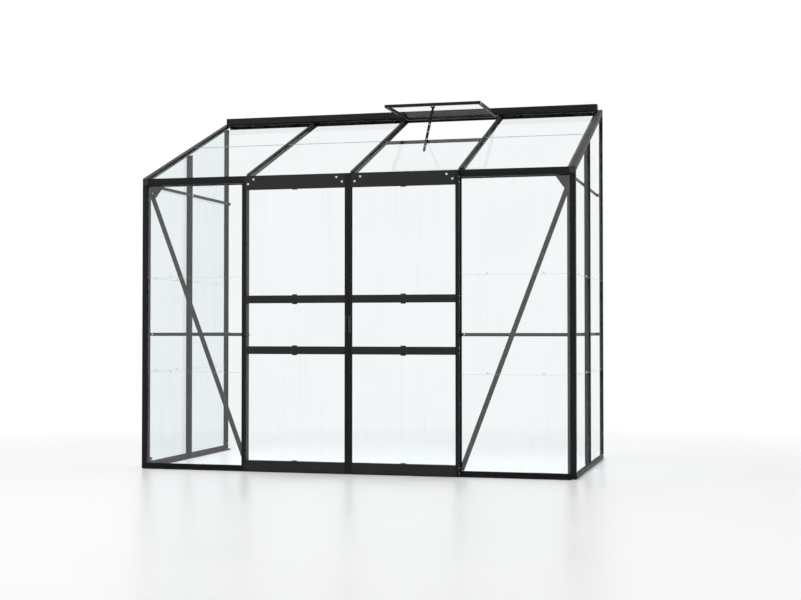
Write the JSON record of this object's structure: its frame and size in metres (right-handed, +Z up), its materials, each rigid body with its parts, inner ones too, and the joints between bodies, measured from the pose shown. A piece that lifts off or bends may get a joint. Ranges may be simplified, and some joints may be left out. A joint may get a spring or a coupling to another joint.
{
  "type": "lean-to greenhouse",
  "caption": "Lean-to greenhouse against a wall: black aluminium frame, clear glass, sliding double doors in front, sloping glass roof with a top-hung vent on a stay.",
  "frame": {"origin": "on the ground, in the middle of the footprint", "axes": "+X along the wall to the right seen from the front, +Y towards the wall, +Z up"},
  "size_m": [2.57, 1.37, 2.249],
  "materials": {
    "frame": "black powder coat, satin",
    "door_frame": "black powder coat, satin",
    "glass": "clear, 3 mm",
    "handle": "fine grain",
    "roller": "satin"
  },
  "bodies": {
    "frame": {"front_sill": "frame", "left_sill": "frame", "right_sill": "frame", "left_corner_post": "frame", "right_corner_post": "frame", "left_wall_post": "frame", "right_wall_post": "frame", "left_side_bar": "frame", "right_side_bar": "frame", "left_door_jamb": "frame", "right_door_jamb": "frame", "eave_gutter": "frame", "ridge_bar": "frame", "left_gable_rafter": "frame", "right_gable_rafter": "frame", "roof_bar_1": "frame", "roof_bar_2": "frame", "roof_bar_3": "frame", "left_front_rail": "frame", "right_front_rail": "frame", "left_side_rail": "frame", "right_side_rail": "frame", "left_side_tie": "frame", "right_side_tie": "frame", "left_brace": "frame", "right_brace": "frame", "vent_sill": "frame", "left_front_glass": "glass", "right_front_glass": "glass", "left_gable_glass_front": "glass", "left_gable_glass_back": "glass", "right_gable_glass_front": "glass", "right_gable_glass_back": "glass", "roof_glass_1": "glass", "roof_glass_2": "glass", "roof_glass_3": "glass", "roof_glass_4": "glass"},
    "left_door": {"left_door_outer_stile": "door_frame", "left_door_meeting_stile": "door_frame", "left_door_top_rail": "door_frame", "left_door_upper_rail": "door_frame", "left_door_lower_rail": "door_frame", "left_door_bottom_rail": "door_frame", "left_door_glass": "glass", "left_door_handle": "handle"},
    "left_door_outer_roller": {"left_door_outer_roller": "roller"},
    "left_door_meeting_roller": {"left_door_meeting_roller": "roller"},
    "right_door": {"right_door_outer_stile": "door_frame", "right_door_meeting_stile": "door_frame", "right_door_top_rail": "door_frame", "right_door_upper_rail": "door_frame", "right_door_lower_rail": "door_frame", "right_door_bottom_rail": "door_frame", "right_door_glass": "glass", "right_door_handle": "handle"},
    "right_door_outer_roller": {"right_door_outer_roller": "roller"},
    "right_door_meeting_roller": {"right_door_meeting_roller": "roller"},
    "vent": {"vent_frame": "frame", "vent_glass": "glass"},
    "vent_stay": {"vent_stay": "frame"}
  },
  "joints": [
    {"name": "left_door_slide", "type": "slide", "parent": "frame", "child": "left_door", "axis": [-1, 0, 0], "range_m": [0, 0.61]},
    {"name": "left_door_outer_roller_turn", "type": "hinge", "parent": "left_door", "child": "left_door_outer_roller", "pos_m": [-0.5715, -0.646, 1.6833], "axis": [0, 1, 0], "continuous": true},
    {"name": "left_door_meeting_roller_turn", "type": "hinge", "parent": "left_door", "child": "left_door_meeting_roller", "pos_m": [-0.0705, -0.646, 1.6833], "axis": [0, 1, 0], "continuous": true},
    {"name": "right_door_slide", "type": "slide", "parent": "frame", "child": "right_door", "axis": [1, 0, 0], "range_m": [0, 0.61]},
    {"name": "right_door_outer_roller_turn", "type": "hinge", "parent": "right_door", "child": "right_door_outer_roller", "pos_m": [0.5715, -0.646, 1.6833], "axis": [0, 1, 0], "continuous": true},
    {"name": "right_door_meeting_roller_turn", "type": "hinge", "parent": "right_door", "child": "right_door_meeting_roller", "pos_m": [0.0705, -0.646, 1.6833], "axis": [0, 1, 0], "continuous": true},
    {"name": "vent_hinge", "type": "hinge", "parent": "frame", "child": "vent", "pos_m": [0.3165, 0.6211, 2.20376], "axis": [-1, 0, 0], "range_deg": [-21.2, 4.5]},
    {"name": "vent_stay_pivot", "type": "hinge", "parent": "vent", "child": "vent_stay", "pos_m": [0.3165, 0.08312, 2.18144], "axis": [-1, 0, 0], "range_deg": [-4, 16]}
  ],
  "couplings": [
    {"joint": "left_door_outer_roller_turn", "follows": "left_door_slide", "rad_per_m": -111.11},
    {"joint": "left_door_meeting_roller_turn", "follows": "left_door_slide", "rad_per_m": -111.11},
    {"joint": "right_door_outer_roller_turn", "follows": "right_door_slide", "rad_per_m": 111.11},
    {"joint": "right_door_meeting_roller_turn", "follows": "right_door_slide", "rad_per_m": 111.11},
    {"joint": "vent_stay_pivot", "follows": "vent_hinge", "ratio": -0.7}
  ]
}
